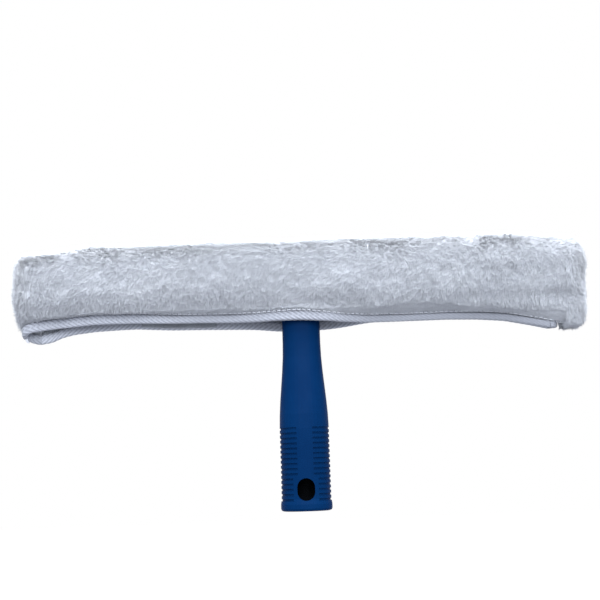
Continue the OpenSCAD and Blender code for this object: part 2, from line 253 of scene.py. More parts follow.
# %% Sleeve sizes, in millimetres
joints = {j["name"]: j for j in frame["record"]["behaviour"]["joints"]}


def node_box(name):
    low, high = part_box(name)
    return np.array(low) / MM, np.array(high) / MM


FOLD_Z = joints["back_flap_fold"]["pos_m"][2] / MM
BAR_TOP = node_box("crossbar")[1][2]
BAR_HALF = node_box("crossbar")[1][1]
SLIT_HALF = node_box("plush_cover")[1][0]
FLAP_HALF = node_box("front_flap")[1][0]
SLEEVE_HALF = node_box("right_end_panel")[1][0]
NECK_HALF_W = 11.5
NECK_HALF_D = 8.2
ROLL_TOP = BAR_TOP + 11.2
BELLY_Z = ROLL_TOP - 21.5
BELLY_HALF = 23.0
BELLY_DROP = 24.0
CROWN_POWER = 2.3
BELLY_POWER = 2.9
END_SINK = 3.0
TAPE_H = 5.8
TAPE_T = 3.4
TAPE_RIGHT_END = 151.5
FRONT_EDGE = [
    (-168, 111.4), (-160, 112.2), (-151, 113.2), (-138, 114.1), (-125, 115.0), (-98, 114.9),
    (-81, 114.1), (-43, 113.3), (-25, 112.8), (0, 113.0), (11, 112.2), (26, 111.2), (61, 111.2),
    (90, 111.6), (108, 111.2), (125, 109.9), (142, 106.4), (158, 102.8),
]
BACK_EDGE = [
    (-170, 104.5), (-162, 104.7), (-153, 106.0), (-148, 108.6), (-140, 110.6), (-127, 112.2), (-101, 113.0),
    (-80, 111.6), (-44, 110.8), (-27, 110.4), (-13, 109.4), (13, 109.5), (27, 110.4), (44, 112.0),
    (90, 112.2), (108, 111.6), (125, 110.3), (142, 106.9), (158, 103.2),
]
FRONT_HEIGHT = [(-160, 6.1), (-100, 5.6), (-75, 4.9), (-25, 5.1), (0, 5.8), (26, 4.7), (75, 4.2), (158, 4.3)]
PLUSH_EDGE = [
    (-160, 118.0), (-140, 119.5), (-120, 121.0), (-60, 120.6), (0, 120.4), (45, 120.1),
    (72, 121.6), (90, 120.0), (105, 117.6), (125, 116.0), (140, 115.7), (160, 114.0),
]
GAP_LEFT, GAP_RIGHT, GAP_END, GAP_NECK = 4.0, 0.8, 2.0, NECK_HALF_D + 1.0
FOLD_TURN = math.asin(((BELLY_Z - FOLD_Z) / BELLY_DROP) ** (BELLY_POWER / 2))

# %% [markdown]
# ## Rules for the slit and the roll
# A rule that gives a height or a width for any x is easier to keep true than a list of points:
# the plush, its lining and its binding all call the same few functions, so they meet along
# the whole slit, also where it bows out round the neck and droops at its ends.

# %% Shape rules


def ease(t):
    t = np.clip(t, 0, 1)
    return t * t * (3 - 2 * t)


def signed_power(v, p):
    return np.sign(v) * np.abs(v) ** p


def near_neck(x):
    return 1 - ease((np.abs(x) - NECK_HALF_W - 2) / 32)


def slit_gap(x):
    """Half width of the slit: wide at the neck, open on the left, closed on the right."""
    side = np.where(x < 0, GAP_LEFT, GAP_RIGHT)
    opened = side + (GAP_NECK - side) * near_neck(x)
    return opened + (GAP_END - opened) * ease((np.abs(x) - SLIT_HALF + 40) / 38)


def smooth_line(points, width=9.0):
    """A rule through measured points, with its corners rounded over the given width."""
    known = np.array(points, float)
    even = np.arange(-185.0, 185.5, 0.5)
    raw = np.interp(even, known[:, 0], known[:, 1])
    reach = int(width)
    padded = np.pad(raw, reach, mode="edge")
    weight = np.hanning(2 * reach + 3)[1:-1]
    soft = np.convolve(padded, weight / weight.sum(), mode="valid")
    return lambda x: np.interp(x, even, soft)


front_edge, back_edge = smooth_line(FRONT_EDGE), smooth_line(BACK_EDGE)
front_height, plush_edge = smooth_line(FRONT_HEIGHT, 20), smooth_line(PLUSH_EDGE, 16)


def edge_z(x, side):
    """Height of the binding's lower edge."""
    return front_edge(x) if side < 0 else back_edge(x)


def tape_height(x, side):
    """How tall the binding looks: the front one is partly rolled under along the right half."""
    return front_height(x) if side < 0 else TAPE_H


def top_sink(x):
    """How far the top has sunk toward the ends."""
    sink = END_SINK * ease((np.abs(x) - SLEEVE_HALF * 0.72) / (SLEEVE_HALF * 0.24))
    return sink + np.where(x < 0, 1.0, 0.6) * ease((np.abs(x) - 128) / 34)


noise_table = np.random.default_rng(11).uniform(-1, 1, (61, 67))


def soft_noise(u, v, layer=0):
    """Smooth noise between -1 and 1 that changes about once per unit."""
    u, v = np.asarray(u, float) + layer * 7.3, np.asarray(v, float) + layer * 3.9
    iu, iv = np.floor(u).astype(int), np.floor(v).astype(int)
    fu, fv = ease(u - iu), ease(v - iv)

    def at(a, b):
        return noise_table[a % 61, b % 67]

    low = at(iu, iv) * (1 - fu) + at(iu + 1, iv) * fu
    high = at(iu, iv + 1) * (1 - fu) + at(iu + 1, iv + 1) * fu
    return low * (1 - fv) + high * fv


print("slit is", round(float(slit_gap(np.array(0.0)) * 2), 1), "mm wide at the neck")

# %% [markdown]
# ## From points to a piece
# A cloth surface is a grid of points: rows along the roll and columns across it. One helper
# joins such a grid with four-sided faces, turns them so that they face away from the inside,
# and makes the object. Every soft piece below goes through it, so each has clean, even faces
# that take a displacement and fibres well.

# %% Mesh helpers
ROLL_MIDDLE_Z = 140.0


def grid_faces(rows, cols, ring=False):
    """Faces of a grid whose points are stored row by row. A ring closes each row on itself."""
    last = cols if ring else cols - 1
    return [
        (r * cols + c, r * cols + (c + 1) % cols, (r + 1) * cols + (c + 1) % cols, (r + 1) * cols + c)
        for r in range(rows - 1)
        for c in range(last)
    ]


def make_piece(name, points, faces, material, inside=None):
    """Makes an object from points in millimetres. Faces look away from the point or line inside."""
    points = np.asarray(points, float).reshape(-1, 3)
    mesh = bpy.data.meshes.new(name)
    mesh.from_pydata((points * MM).tolist(), [], faces)
    mesh.update()
    if inside is not None:
        score = 0.0
        for polygon in mesh.polygons:
            centre = np.array(polygon.center) / MM
            away = centre - inside(centre)
            score += float(np.dot(np.array(polygon.normal), away)) * polygon.area
        if score < 0:
            mesh.flip_normals()
    mesh.polygons.foreach_set("use_smooth", [True] * len(mesh.polygons))
    mesh.materials.append(material)
    return add_object(name, mesh)


def roll_axis(point):
    return np.array([point[0], 0, ROLL_MIDDLE_Z])


def store(piece, name, kind, values):
    """Keeps one value for each point on the mesh, as fibres and materials can read it."""
    attribute = piece.data.attributes.new(name, kind, "POINT")
    key = "vector" if kind == "FLOAT_VECTOR" else "value"
    attribute.data.foreach_set(key, np.asarray(values, np.float32).ravel())


def point_normals(piece):
    normals = np.zeros(len(piece.data.vertices) * 3, np.float32)
    piece.data.vertex_normals.foreach_get("vector", normals)
    return normals.reshape(-1, 3).astype(float)


def get_points(piece):
    points = np.zeros(len(piece.data.vertices) * 3, np.float32)
    piece.data.vertices.foreach_get("co", points)
    return points.reshape(-1, 3).astype(float) / MM


def set_points(piece, points):
    piece.data.vertices.foreach_set("co", (np.asarray(points) * MM).astype(np.float32).ravel())
    piece.data.update()


print("mesh helpers ready")

# %% [markdown]
# ## Materials
# Each finish is a small node tree on Object coordinates, so it stays on the surface in every
# view. Plush is nearly pure white with a cool cast: its greys come from shade between the
# fibres, so the material itself only varies a little. The binding is a cotton tape with a
# fine weave. The handle is moulded plastic with a satin skin, and the screws are steel.

# %% Material helpers


def start_material(name, colour, roughness):
    """A new finish: its material, its tree, its shader and the object's own coordinates."""
    material = bpy.data.materials.new(name)
    material.use_nodes = True
    tree = material.node_tree
    shader = tree.nodes["Principled BSDF"]
    set_inputs(tree, shader, {"Base Color": (*colour, 1), "Roughness": roughness})
    material.diffuse_color = (*colour, 1)
    return material, tree, shader, add_node(tree, "ShaderNodeTexCoord").outputs["Object"]


def add_noise(tree, place, scale, detail=3.0, roughness=0.55):
    inputs = {"Vector": place, "Scale": scale, "Detail": detail, "Roughness": roughness}
    return add_node(tree, "ShaderNodeTexNoise", inputs).outputs["Fac"]


def add_ramp(tree, value, stops):
    """Turns a value into a colour, by stops that each have a place and a colour."""
    ramp = add_node(tree, "ShaderNodeValToRGB", {"Fac": value})
    elements = ramp.color_ramp.elements
    for k, (position, colour) in enumerate(stops):
        stop = elements[k] if k < 2 else elements.new(position)
        stop.position = position
        stop.color = (*colour, 1)
    return ramp.outputs["Color"]


def add_bump(tree, shader, height, strength, distance):
    inputs = {"Strength": strength, "Distance": distance, "Height": height}
    bump = add_node(tree, "ShaderNodeBump", inputs)
    set_inputs(tree, shader, {"Normal": bump.outputs["Normal"]})


print("material helpers ready")

# %% [markdown]
# ## Plush and its backing
# Each lock of pile would shade by its own small facets and look like straw. Real fleece looks
# soft because light passes from lock to lock, so each lock here shades mostly as the cloth
# under it does: the cloth's own smooth direction is stored on it as `nap`, the locks carry it
# along, and the material mixes it with the lock's direction.

# %% Plush and its fibres
PLUSH_WHITE = (0.920, 0.940, 0.975)
PLUSH_SHADE = (0.845, 0.865, 0.905)
NAP_SHARE = 0.86


def plush_material():
    material, tree, shader, place = start_material("plush_pile", PLUSH_WHITE, 0.95)
    patches = add_noise(tree, place, 55, 4, 0.6)
    tone = add_ramp(tree, patches, [(0.30, PLUSH_SHADE), (0.62, PLUSH_WHITE)])
    nap = add_node(tree, "ShaderNodeAttribute", attribute_name="nap")
    turned = add_node(
        tree, "ShaderNodeVectorTransform", {"Vector": nap.outputs["Vector"]},
        vector_type="NORMAL", convert_from="OBJECT", convert_to="WORLD",
    )
    own = add_node(tree, "ShaderNodeNewGeometry")
    inputs = {"Factor": NAP_SHARE, "A": own.outputs["Normal"], "B": turned.outputs["Vector"]}
    blend = add_node(tree, "ShaderNodeMix", inputs, data_type="VECTOR")
    unit = add_node(tree, "ShaderNodeVectorMath", {0: blend.outputs["Result"]}, operation="NORMALIZE")
    set_inputs(tree, shader, {
        "Base Color": tone,
        "Normal": unit.outputs["Vector"],
        "Diffuse Roughness": 1.0,
        "Specular IOR Level": 0.05,
    })
    return material


def backing_material():
    """Knitted backing cloth inside the sleeve."""
    material, tree, shader, place = start_material("knit_backing", (0.60, 0.62, 0.66), 0.9)
    inputs = {"Vector": place, "Scale": 260, "Distortion": 2.0, "Detail": 1.0}
    knit = add_node(tree, "ShaderNodeTexWave", inputs).outputs["Fac"]
    tone = add_ramp(tree, knit, [(0.2, (0.50, 0.52, 0.56)), (0.8, (0.66, 0.68, 0.72))])
    set_inputs(tree, shader, {"Base Color": tone})
    add_bump(tree, shader, knit, 0.6, 0.0003)
    return material


plush = plush_material()
backing = backing_material()
print("soft materials:", plush.name, backing.name)

# %% [markdown]
# ## Tape and thread
# Twill tape gets a painted highlight along the top of each rib and painted shade in the valley
# between two ribs. The ribs are real shape, made further down, and the shape stores how high each
# point stands in `rib`, so the painted light and shade agree with the relief whatever the lamps do.

# %% Binding tape
TAPE_RIB_HIGHLIGHT = (0.56, 0.58, 0.64)
TAPE_MID = (0.39, 0.405, 0.45)
TAPE_RIB_SHADE = (0.265, 0.275, 0.31)


def tape_material():
    """Twill tape with a painted highlight on each rib's top and painted shade in its valleys, by rib height.
    """
    material, tree, shader, place = start_material("twill_tape", TAPE_RIB_HIGHLIGHT, 0.8)
    rib = add_node(tree, "ShaderNodeAttribute", attribute_name="rib").outputs["Fac"]
    # Painted highlight on the rib tops and painted shade in the valleys, read from the stored rib height.
    tone = add_ramp(tree, rib, [(0.18, TAPE_RIB_SHADE), (0.97, TAPE_RIB_HIGHLIGHT), (0.62, TAPE_MID)])
    inputs = {"Base Color": tone, "Sheen Weight": 0.15, "Specular IOR Level": 0.2}
    set_inputs(tree, shader, inputs)
    add_bump(tree, shader, add_noise(tree, place, 1800, 3), 0.5, 0.0002)
    return material


def thread_material():
    material, tree, shader, place = start_material("sewing_thread", (0.80, 0.82, 0.87), 0.6)
    add_bump(tree, shader, add_noise(tree, place, 3500, 2), 0.4, 0.0001)
    return material


tape_cloth = tape_material()
thread = thread_material()
print("sewn materials:", tape_cloth.name, thread.name)

# %% [markdown]
# ## Blue plastic and steel
# The handle and the crossbar are moulded in one colour of plastic with a satin skin. Its blue
# varies a little, as worn plastic does, and its roughness too, so that a highlight breaks up.
# Inside the socket, where the pole sits, a value made from the distance to the handle's
# middle line and from the height darkens the blue to near black with painted shade.

# %% Blue plastic and steel
BLUE = (0.0004, 0.0170, 0.0690)
BLUE_WORN = (0.0010, 0.0215, 0.0820)
# Painted shade inside the socket: near black within these distances of the middle line and below this
# height.
SOCKET_SHADE = (0.004, 0.005, 0.007)
SHADE_INNER, SHADE_OUTER, SHADE_TOP = 0.0104, 0.0112, 0.056


def blue_material():
    """Satin moulded plastic, with painted shade inside the socket that turns it near black."""
    material, tree, shader, place = start_material("blue_plastic", BLUE, 0.42)
    tone = add_ramp(tree, add_noise(tree, place, 38, 4), [(0.35, BLUE), (0.75, BLUE_WORN)])
    split = add_node(tree, "ShaderNodeSeparateXYZ", {0: place}).outputs
    flat = add_node(tree, "ShaderNodeCombineXYZ", {"X": split["X"], "Y": split["Y"]})
    reach = add_node(tree, "ShaderNodeVectorMath", {0: flat.outputs[0]}, operation="LENGTH")
    inside = add_node(tree, "ShaderNodeMapRange", {
        "Value": reach.outputs["Value"],
        "From Min": SHADE_INNER,
        "From Max": SHADE_OUTER,
        "To Min": 1,
        "To Max": 0,
    })
    # Mask of the painted shade inside the socket, where the pole sits.
    low = add_node(tree, "ShaderNodeMath", {0: split["Z"], 1: SHADE_TOP}, operation="LESS_THAN")
    inputs = {0: inside.outputs["Result"], 1: low.outputs[0]}
    socket_shade = add_node(tree, "ShaderNodeMath", inputs, operation="MULTIPLY")
    inputs = {"Factor": socket_shade.outputs[0], "A": tone, "B": (*SOCKET_SHADE, 1)}
    colour = add_node(tree, "ShaderNodeMix", inputs, data_type="RGBA")
    sheen = add_ramp(tree, add_noise(tree, place, 90, 5), [(0.3, (0.36,) * 3), (0.7, (0.50,) * 3)])
    inputs = {"Base Color": colour.outputs["Result"], "Roughness": sheen, "Specular IOR Level": 0.018}
    set_inputs(tree, shader, inputs)
    add_bump(tree, shader, add_noise(tree, place, 1500, 2), 0.25, 0.00012)
    return material


def steel_material():
    material, tree, shader, place = start_material("screw_steel", (0.62, 0.63, 0.65), 0.35)
    wear = add_ramp(tree, add_noise(tree, place, 900, 3), [(0.3, (0.28,) * 3), (0.7, (0.45,) * 3)])
    set_inputs(tree, shader, {"Metallic": 1, "Roughness": wear})
    return material


def refinish(node, material):
    for slot in frame["nodes"][node].material_slots:
        slot.material = material


blue_plastic = blue_material()
screw_steel = steel_material()
for node in ("handle", "crossbar"):
    refinish(node, blue_plastic)
refinish("crossbar_screws", screw_steel)
print("rigid nodes finished: handle, crossbar, crossbar_screws")

# %% [markdown]
# ## The plush cloth
# The real sleeve is one cloth whose pile hides its backing. Here the backing is a fine grid
# over the roll's outline, one for the front and one for the back. The grid is first laid on
# the outline that the pile's tips reach, then drawn in by the pile's depth, and lumps are
# added: broad soft ones all over, and small tufts toward the belly, where washing has
# clumped the pile. The direction and length that each fibre will need are stored beside it.

# %% Plush sizes
PILE_DEPTH = 2.4
STRIP_DEPTH = 1.7
RIDGE_BACK = 3.0
TUFT_SIZE = 5.2
END_LAP = 1.0
CROWN_STEPS, BELLY_STEPS, STRIP_STEPS = 34, 26, 12
ROLL_ROWS = 280


def half_outline(x, side):
    """Outline at one x on one side, from the top middle down to the binding: distance and height."""
    up = np.radians(np.linspace(90, 0, CROWN_STEPS, endpoint=False))
    down = -np.linspace(0, FOLD_TURN, BELLY_STEPS)
    crown = np.stack([
        BELLY_HALF * signed_power(np.cos(up), 2 / CROWN_POWER),
        BELLY_Z + (ROLL_TOP - BELLY_Z - top_sink(x)) * np.sin(up) ** (2 / CROWN_POWER),
    ], 1)
    belly = np.stack([
        BELLY_HALF * np.cos(down) ** (2 / BELLY_POWER),
        BELLY_Z - BELLY_DROP * np.abs(np.sin(down)) ** (2 / BELLY_POWER),
    ], 1)
    t = np.linspace(0, 1, STRIP_STEPS + 1)[1:, None]
    start = belly[-1]
    finish_at = np.array([slit_gap(x) + TAPE_T + 0.1, edge_z(x, side) + tape_height(x, side) - 0.5])
    middle = np.array([start[0] - 0.4, min(plush_edge(x) - 1.5, start[1] - 2)])
    strip = (1 - t) ** 2 * start + 2 * t * (1 - t) * middle + t * t * finish_at
    return round_off(np.concatenate([crown, belly, strip]), CROWN_STEPS + BELLY_STEPS)


def round_off(line, corner):
    """Rounds the line at one corner by letting each point near it follow its neighbours."""
    near = np.exp(-((np.arange(len(line)) - corner) / 5.0) ** 2)[1:-1, None]
    for _ in range(12):
        line[1:-1] += 0.5 * near * ((line[:-2] + line[2:]) / 2 - line[1:-1])
    return line


def even_out(line, count):
    """The same line with its points an even distance apart."""
    steps = np.concatenate([[0], np.cumsum(np.linalg.norm(np.diff(line, axis=0), axis=1))])
    want = np.linspace(0, steps[-1], count)
    return np.stack([np.interp(want, steps, line[:, k]) for k in range(line.shape[1])], 1), steps[-1]


tuft_rng = np.random.default_rng(5)
tuft_jitter = tuft_rng.uniform(-0.42, 0.42, (200, 90, 2))


def tuft_pull(u, v, size):
    """For each point, the way to the nearest tuft's middle and how near it is, from 1 to 0."""
    cu, cv = u / size, v / size
    best = np.full(u.shape, 9.0)
    to_u, to_v = np.zeros(u.shape), np.zeros(u.shape)
    for du in (-1, 0, 1):
        for dv in (-1, 0, 1):
            iu, iv = np.floor(cu).astype(int) + du, np.floor(cv).astype(int) + dv
            mid_u = iu + 0.5 + tuft_jitter[iu % 200, iv % 90, 0]
            mid_v = iv + 0.5 + tuft_jitter[iu % 200, iv % 90, 1]
            away = np.hypot(mid_u - cu, mid_v - cv)
            nearer = away < best
            best = np.where(nearer, away, best)
            to_u = np.where(nearer, mid_u - cu, to_u)
            to_v = np.where(nearer, mid_v - cv, to_v)
    return to_u, to_v, 1 - np.clip(best, 0, 1)


print("outline has", len(half_outline(0.0, -1)), "points at the middle")

# %% [markdown]
# ## The cloth laid on its outline
# Each row of the grid is the outline at one x, with its points an even distance apart. The
# pile then moves every point in along the cloth's normal, and stores three things for the
# locks: which way they lie, how deep they stand, and the smooth direction they shade by. The
# last is held back where the cloth faces up, so that the crown catches the light from above.

# %% Plush grid
ROLL_COLS = 84
CROWN_GIVE = 0.6
LUMPS = [(0.85, 25, 15), (0.40, 10, 8)]
COMB = [(0.55, 26, 17), (0.35, 9, 8)]
LUMP_SHARE, LUMP_SHARE_LOW, LUMP_SHARE_STRIP = 0.4, 0.8, 0.5
TUFT_HEIGHT, TUFT_LOW, TUFT_RIDGE, TUFT_SWING = 0.10, 0.40, 0.30, 1.5
LEAN_OUT, LEAN_DOWN, LEAN_ALONG, LEAN_TUFT = 0.95, 0.50, 0.75, 0.2
EDGE_WANDER, EDGE_SOFT = 1.1, 2.6


def plush_grid(side):
    """Points of the roll on one side, with the distance down the cloth for each."""
    xs = np.linspace(-SLIT_HALF - END_LAP, SLIT_HALF + END_LAP, ROLL_ROWS)
    points, downs = [], []
    for x in xs:
        line, length = even_out(half_outline(x, side), ROLL_COLS)
        points.append(np.stack([np.full(ROLL_COLS, x), side * line[:, 0], line[:, 1]], 1))
        downs.append(np.linspace(0, length, ROLL_COLS))
    return np.array(points), np.array(downs)


def layered_noise(rules, along, down, layer):
    """Noise of several sizes; each rule gives its height, its length along and its length down."""
    return sum(
        height * soft_noise(along / wide, down / tall, layer + k)
        for k, (height, wide, tall) in enumerate(rules)
    )


def lay_pile(piece, along, down, strip, side, ridge):
    """Draws the cloth in by the pile's depth, adds lumps and tufts, and stores how fibres lie."""
    points, normals = get_points(piece), point_normals(piece)
    low = ease((down - 20) / 20)
    layer = 0 if side < 0 else 9
    lumps = layered_noise(LUMPS, along, down, layer)
    wander = soft_noise(along / 9, down / 9, 3) * 3
    to_u, to_v, near = tuft_pull(along + side * 500, down + wander, TUFT_SIZE)
    tufts = (TUFT_HEIGHT + TUFT_LOW * low + TUFT_RIDGE * ridge) * (near - 0.5) * TUFT_SWING
    full = 1 - strip
    relief = (lumps * (LUMP_SHARE + LUMP_SHARE_LOW * low) + tufts) * full
    relief += LUMP_SHARE_STRIP * lumps * strip
    moved = points + normals * (relief - PILE_DEPTH * full - STRIP_DEPTH * strip)[:, None]
    across = np.cross(np.array([1.0, 0, 0]), normals)
    downward = np.where((across[:, 2] < 0)[:, None], across, -across)
    comb = layered_noise(COMB, along, down, layer + 4)
    lean = normals * (LEAN_OUT - 0.25 * full)[:, None]
    lean += downward * (LEAN_DOWN + 0.20 * low * full + 0.2 * ridge + LEAN_TUFT * to_v)[:, None]
    lean += np.array([1.0, 0, 0]) * (LEAN_ALONG * comb + LEAN_TUFT * to_u)[:, None]
    lean /= np.linalg.norm(lean, axis=1)[:, None]
    set_points(piece, moved)
    store(piece, "lay", "FLOAT_VECTOR", lean)
    hold = 1 - CROWN_GIVE * ease((normals[:, 2] - 0.35) / 0.45)
    nap = 0.6 * normals + 0.4 * point_normals(piece)
    store(piece, "nap", "FLOAT_VECTOR", nap * hold[:, None])
    store(piece, "pile", "FLOAT", 1 - 0.55 * strip + 0.2 * ridge)


def make_plush(side):
    points, downs = plush_grid(side)
    name = "front_plush" if side < 0 else "back_plush"
    piece = make_piece(name, points, grid_faces(ROLL_ROWS, ROLL_COLS), plush, roll_axis)
    flat = points.reshape(-1, 3)
    above = flat[:, 2] - plush_edge(flat[:, 0]) - EDGE_WANDER * soft_noise(flat[:, 0] / 6, 0.5, 7)
    strip = ease(0.5 - above / EDGE_SOFT)
    ridge = np.exp(-((above - RIDGE_BACK) / EDGE_SOFT) ** 2) * (1 - strip)
    lay_pile(piece, flat[:, 0], downs.ravel(), strip, side, ridge)
    return piece


front_plush = make_plush(-1)
back_plush = make_plush(1)
for piece in (front_plush, back_plush):
    print(piece.name, len(piece.data.polygons), "faces")

# %% [markdown]
# ## The closed ends
# Past each end of the slit the roll is closed: its outline shrinks toward the outer face and
# a small tab of plush hangs beside the binding. The rows are rings here, one for each step
# outward, and the last rings close on the middle of the end face.

# %% End sizes and rings
END_T = SLEEVE_HALF - SLIT_HALF
END_MIDDLE = BELLY_Z - 6
END_ROWS, END_COLS = 34, 150
NOSE_PLAN, NOSE_FRONT, NOSE_REACH = 2.2, 5.5, 22
TURN_OUT = GAP_END + TAPE_T
LEFT_REACH = 6.0
LOBE_Z = 104.0
LEFT_MIDDLE_Z = 113.5
END_INSIDE = (160.0, 0, 136.0)


def end_outline(t, end, side):
    """Half outline of an end, from the top middle down to the bottom middle, at t from 0 to 1."""
    x = end * (SLIT_HALF + t * END_T)
    upper = half_outline(x, side)[: CROWN_STEPS + BELLY_STEPS]
    binding_top = edge_z(end * SLIT_HALF, side) + tape_height(end * SLIT_HALF, side)
    if end < 0:
        low = binding_top - 0.6
    else:
        hang = ease((t * END_T - 0.8) / 1.2)
        low = (binding_top - 0.6) * (1 - hang) + LOBE_Z * hang
    middle = low if end > 0 else LEFT_MIDDLE_Z
    drop = upper[-1][1] - low
    tab = [
        [upper[-1][0] - 1.2, low + 0.62 * drop],
        [upper[-1][0] - 4.2, low + 0.28 * drop],
        [TURN_OUT + 4.6, low + 0.08 * drop],
        [TURN_OUT - 2.2, 0.6 * low + 0.4 * middle],
        [0, middle],
    ]
    return np.concatenate([upper, tab])


def make_end(side):
    """Rings step outward on a nose that is round seen from above and square seen from the front."""
    name = "left_end_plush" if side < 0 else "right_end_plush"
    rings, downs, alongs = [], [], []
    half = END_COLS // 2
    for q in np.linspace(0, 0.985, END_ROWS):
        t = math.sin(q * math.pi / 2) ** (2 / NOSE_PLAN)
        narrow = math.cos(q * math.pi / 2) ** (2 / NOSE_PLAN)
        shrink = (1 - t ** NOSE_FRONT) ** (1 / NOSE_FRONT)
        line, length = even_out(end_outline(t, side, 1), half + 1)
        front_line, _ = even_out(end_outline(t, side, -1), half + 1)
        ring = np.concatenate([line * [1, 1], front_line[-2:0:-1] * [-1, 1]])
        ring[:, 0] *= narrow
        ring[:, 1] = END_MIDDLE + (ring[:, 1] - END_MIDDLE) * shrink
        x = np.full(len(ring), side * (SLIT_HALF + t * END_T))
        rings.append(np.stack([x, ring[:, 0], ring[:, 1]], 1))
        down = np.linspace(0, length, half + 1)
        downs.append(np.concatenate([down, down[-2:0:-1]]))
        alongs.append(np.full(len(ring), side * (SLIT_HALF + t * END_T + (1 - narrow) * NOSE_REACH)))
    points = np.array(rings)
    rows, cols = points.shape[:2]
    last_ring = tuple((rows - 1) * cols + c for c in reversed(range(cols)))
    faces = grid_faces(rows, cols, ring=True) + [last_ring]
    inside = np.array([side * END_INSIDE[0], END_INSIDE[1], END_INSIDE[2]])
    piece = make_piece(name, points, faces, plush, lambda c: inside)
    plain = np.zeros(rows * cols)
    lay_pile(piece, np.array(alongs).ravel(), np.array(downs).ravel(), plain, side, plain)
    return piece


left_end = make_end(-1)
right_end = make_end(1)
print(left_end.name, len(left_end.data.polygons), "faces")

# %% [markdown]
# ## The pile itself
# Locks of fibre are the one thing here that repeats over a hundred thousand times, so
# Geometry Nodes scatters them: points on the cloth, one small tapered lock on each, turned
# along the stored direction with a little chance of its own, and scaled by the stored length.
# The lock itself is kept to six faces, because every face of it is paid for on each copy.

# %% One lock of fibres
LOCK_LENGTH = 3.5
LOCK_WIDTH = 0.41
LOCK_CURL = 0.35


def make_lock():
    """A curved three-sided lock of yarn that thins to a point."""
    levels = [(0.0, 1.0, 0.0), (0.62, 0.8, 0.3)]
    points = []
    for height, width, curl in levels:
        for k in range(3):
            a = 2 * math.pi * k / 3
            reach = LOCK_WIDTH / 2 * width
            bent = math.cos(a) * reach + curl * LOCK_CURL
            points.append((bent, math.sin(a) * reach, height * LOCK_LENGTH))
    points.append((LOCK_CURL, 0, LOCK_LENGTH))
    faces = [(k, (k + 1) % 3, (k + 1) % 3 + 3, k + 3) for k in range(3)]
    faces += [(3 + k, 3 + (k + 1) % 3, 6) for k in range(3)]
    return make_piece("one_lock", points, faces, plush)


one_lock = make_lock()
print("a lock has", len(one_lock.data.polygons), "faces")

# %% [markdown]
# ## The tree that plants
# A Geometry Nodes tree is a recipe with named inputs: the same one plants pile, hooks or
# loops, with another shape, density and seed. It is written as a chain: scatter points, turn
# each one along the stored lay, scale it, put the shape there. The recipe's start, its end and
# the way it is run are helpers, because the stitches use them too.

# %% Tree that plants the locks


def start_tree(name, wanted):
    """An empty tree with named inputs: the tree, its input values and the key of each input."""
    tree = bpy.data.node_groups.new(name, "GeometryNodeTree")
    tree.interface.new_socket("Geometry", in_out="INPUT", socket_type="NodeSocketGeometry")
    keys = {}
    for label, kind, value in wanted:
        socket = tree.interface.new_socket(label, in_out="INPUT", socket_type=kind)
        if value is not None:
            socket.default_value = value
        keys[label] = socket.identifier
    tree.interface.new_socket("Geometry", in_out="OUTPUT", socket_type="NodeSocketGeometry")
    return tree, add_node(tree, "NodeGroupInput").outputs, keys


def end_tree(tree, instances, material):
    """Makes the instances real, gives them their finish and hands them out."""
    real = add_node(tree, "GeometryNodeRealizeInstances", {"Geometry": instances})
    inputs = {"Geometry": real.outputs["Geometry"], "Material": material}
    finish = add_node(tree, "GeometryNodeSetMaterial", inputs)
    add_node(tree, "NodeGroupOutput", {"Geometry": finish.outputs["Geometry"]})


def run_tree(host, name, tree, keys, values):
    """Runs a tree on an object, keeps the result as a plain mesh and lets the object go."""
    modifier = host.modifiers.new(tree.name, "NODES")
    modifier.node_group = tree
    for label, value in values.items():
        modifier[keys[label]] = value
    graph = bpy.context.evaluated_depsgraph_get()
    mesh = bpy.data.meshes.new_from_object(host.evaluated_get(graph))
    mesh.name = name
    made = add_object(name, mesh)
    bpy.data.objects.remove(host, do_unlink=True)
    return made


